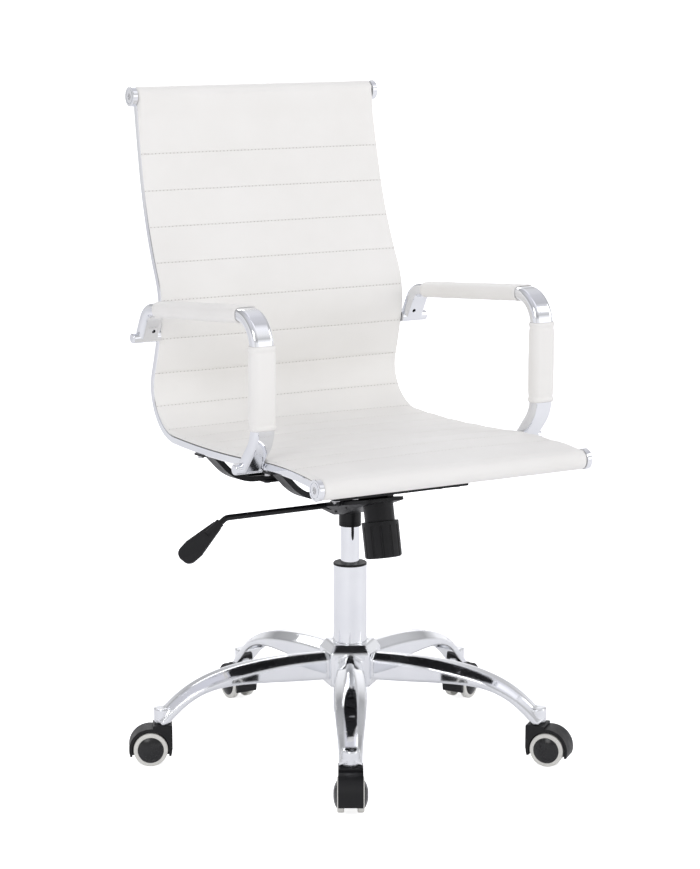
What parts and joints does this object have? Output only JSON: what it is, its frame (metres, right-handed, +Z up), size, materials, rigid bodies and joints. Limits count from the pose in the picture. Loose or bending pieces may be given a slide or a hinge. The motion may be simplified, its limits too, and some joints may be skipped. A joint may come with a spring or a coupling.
{
  "type": "swivel chair",
  "caption": "High-back swivel office chair with a ribbed leather sling seat, chromed rails, loop armrests, gas lift and a five-star base on casters.",
  "frame": {"origin": "on the floor below the column's axis", "axes": "+Z up, the chair faces -Y, and +X is the sitter's left"},
  "size_m": [0.6505, 0.6394, 0.9736],
  "materials": {
    "leather": "satin off-white leather with fine grain",
    "chrome": "polished chrome plate",
    "steel": "zinc-plated steel",
    "black_steel": "satin black powder coat",
    "black_plastic": "fine-textured black plastic",
    "gloss_black": "semi-gloss black plastic",
    "tyre_white": "satin off-white soft tread"
  },
  "bodies": {
    "base": {"star_base": "chrome", "outer_column": "chrome", "column_collar": "black_plastic", "caster_stems": "steel"},
    "rod": {"gas_rod": "steel"},
    "lift": {"gas_cylinder": "chrome", "tilt_housing": "black_steel", "tension_spring": "steel"},
    "pin": {"release_pin": "steel"},
    "knob": {"tension_knob": "black_plastic"},
    "lever": {"lever_rod": "black_steel", "lever_paddle": "black_plastic"},
    "seat": {"seat_plate": "black_steel", "tilt_axle": "steel", "front_spreader": "black_steel", "rear_spreader": "black_steel", "back_spreader": "chrome", "side_rail_left": "chrome", "side_rail_right": "chrome", "roll_bars": "steel", "end_caps": "chrome", "cap_screws": "steel", "arm_left": "chrome", "arm_right": "chrome", "arm_top_sleeve_left": "leather", "arm_top_sleeve_right": "leather", "arm_front_sleeve_left": "leather", "arm_front_sleeve_right": "leather", "sling": "leather", "frame_bolts": "steel"},
    "caster_front": {"caster_front_hood": "black_plastic", "caster_front_axle": "steel"},
    "caster_front_wheel_a": {"caster_front_wheel_a": "gloss_black", "caster_front_tyre_a": "tyre_white"},
    "caster_front_wheel_b": {"caster_front_wheel_b": "gloss_black", "caster_front_tyre_b": "tyre_white"},
    "caster_right": {"caster_right_hood": "black_plastic", "caster_right_axle": "steel"},
    "caster_right_wheel_a": {"caster_right_wheel_a": "gloss_black", "caster_right_tyre_a": "tyre_white"},
    "caster_right_wheel_b": {"caster_right_wheel_b": "gloss_black", "caster_right_tyre_b": "tyre_white"},
    "caster_rear_right": {"caster_rear_right_hood": "black_plastic", "caster_rear_right_axle": "steel"},
    "caster_rear_right_wheel_a": {"caster_rear_right_wheel_a": "gloss_black", "caster_rear_right_tyre_a": "tyre_white"},
    "caster_rear_right_wheel_b": {"caster_rear_right_wheel_b": "gloss_black", "caster_rear_right_tyre_b": "tyre_white"},
    "caster_rear_left": {"caster_rear_left_hood": "black_plastic", "caster_rear_left_axle": "steel"},
    "caster_rear_left_wheel_a": {"caster_rear_left_wheel_a": "gloss_black", "caster_rear_left_tyre_a": "tyre_white"},
    "caster_rear_left_wheel_b": {"caster_rear_left_wheel_b": "gloss_black", "caster_rear_left_tyre_b": "tyre_white"},
    "caster_left": {"caster_left_hood": "black_plastic", "caster_left_axle": "steel"},
    "caster_left_wheel_a": {"caster_left_wheel_a": "gloss_black", "caster_left_tyre_a": "tyre_white"},
    "caster_left_wheel_b": {"caster_left_wheel_b": "gloss_black", "caster_left_tyre_b": "tyre_white"}
  },
  "joints": [
    {"name": "column_swivel", "type": "hinge", "parent": "base", "child": "rod", "pos_m": [0, 0, 0.2782], "axis": [0, 0, 1], "continuous": true},
    {"name": "gas_lift", "type": "slide", "parent": "rod", "child": "lift", "axis": [0, 0, 1], "range_m": [-0.05, 0.05]},
    {"name": "release_pin_slide", "type": "slide", "parent": "lift", "child": "pin", "axis": [0, 0, -1], "range_m": [0, 0.0026]},
    {"name": "lever_hinge", "type": "hinge", "parent": "lift", "child": "lever", "pos_m": [-0.026, 0, 0.371], "axis": [0, 1, 0], "range_deg": [0, 5.7], "stiffness_Nm_per_rad": 2, "springref_deg": -5.73},
    {"name": "tension_knob_turn", "type": "hinge", "parent": "lift", "child": "knob", "pos_m": [0, -0.08614, 0.3599], "axis": [0, 0.2079, 0.9781], "continuous": true},
    {"name": "seat_tilt", "type": "hinge", "parent": "lift", "child": "seat", "pos_m": [0, -0.038, 0.386], "axis": [-1, 0, 0], "range_deg": [0, 12], "stiffness_Nm_per_rad": 120, "springref_deg": -14.32},
    {"name": "caster_front_swivel", "type": "hinge", "parent": "base", "child": "caster_front", "pos_m": [-0.1445, -0.25028, 0.06], "axis": [0, 0, 1], "continuous": true},
    {"name": "caster_front_roll_a", "type": "hinge", "parent": "caster_front", "child": "caster_front_wheel_a", "pos_m": [-0.1535, -0.26587, 0.025], "axis": [0.866, -0.5, 0], "continuous": true},
    {"name": "caster_front_roll_b", "type": "hinge", "parent": "caster_front", "child": "caster_front_wheel_b", "pos_m": [-0.1535, -0.26587, 0.025], "axis": [0.866, -0.5, 0], "continuous": true},
    {"name": "caster_right_swivel", "type": "hinge", "parent": "base", "child": "caster_right", "pos_m": [0.19338, -0.21477, 0.06], "axis": [0, 0, 1], "continuous": true},
    {"name": "caster_right_roll_a", "type": "hinge", "parent": "caster_right", "child": "caster_right_wheel_a", "pos_m": [0.20495, -0.22856, 0.025], "axis": [0.766, 0.6428, 0], "continuous": true},
    {"name": "caster_right_roll_b", "type": "hinge", "parent": "caster_right", "child": "caster_right_wheel_b", "pos_m": [0.20495, -0.22856, 0.025], "axis": [0.766, 0.6428, 0], "continuous": true},
    {"name": "caster_rear_right_swivel", "type": "hinge", "parent": "base", "child": "caster_rear_right", "pos_m": [0.26401, 0.11755, 0.06], "axis": [0, 0, 1], "continuous": true},
    {"name": "caster_rear_right_roll_a", "type": "hinge", "parent": "caster_rear_right", "child": "caster_rear_right_wheel_a", "pos_m": [0.2796, 0.12655, 0.025], "axis": [-0.5, 0.866, 0], "continuous": true},
    {"name": "caster_rear_right_roll_b", "type": "hinge", "parent": "caster_rear_right", "child": "caster_rear_right_wheel_b", "pos_m": [0.2796, 0.12655, 0.025], "axis": [-0.5, 0.866, 0], "continuous": true},
    {"name": "caster_rear_left_swivel", "type": "hinge", "parent": "base", "child": "caster_rear_left", "pos_m": [-0.03021, 0.28742, 0.06], "axis": [0, 0, 1], "continuous": true},
    {"name": "caster_rear_left_roll_a", "type": "hinge", "parent": "caster_rear_left", "child": "caster_rear_left_wheel_a", "pos_m": [-0.03084, 0.30541, 0.025], "axis": [-0.9994, -0.0349, 0], "continuous": true},
    {"name": "caster_rear_left_roll_b", "type": "hinge", "parent": "caster_rear_left", "child": "caster_rear_left_wheel_b", "pos_m": [-0.03084, 0.30541, 0.025], "axis": [-0.9994, -0.0349, 0], "continuous": true},
    {"name": "caster_left_swivel", "type": "hinge", "parent": "base", "child": "caster_left", "pos_m": [-0.28269, 0.06009, 0.06], "axis": [0, 0, 1], "continuous": true},
    {"name": "caster_left_roll_a", "type": "hinge", "parent": "caster_left", "child": "caster_left_wheel_a", "pos_m": [-0.299, 0.06769, 0.025], "axis": [-0.4226, -0.9063, 0], "continuous": true},
    {"name": "caster_left_roll_b", "type": "hinge", "parent": "caster_left", "child": "caster_left_wheel_b", "pos_m": [-0.299, 0.06769, 0.025], "axis": [-0.4226, -0.9063, 0], "continuous": true}
  ],
  "couplings": [
    {"joint": "release_pin_slide", "follows": "lever_hinge", "m_per_rad": 0.026}
  ]
}
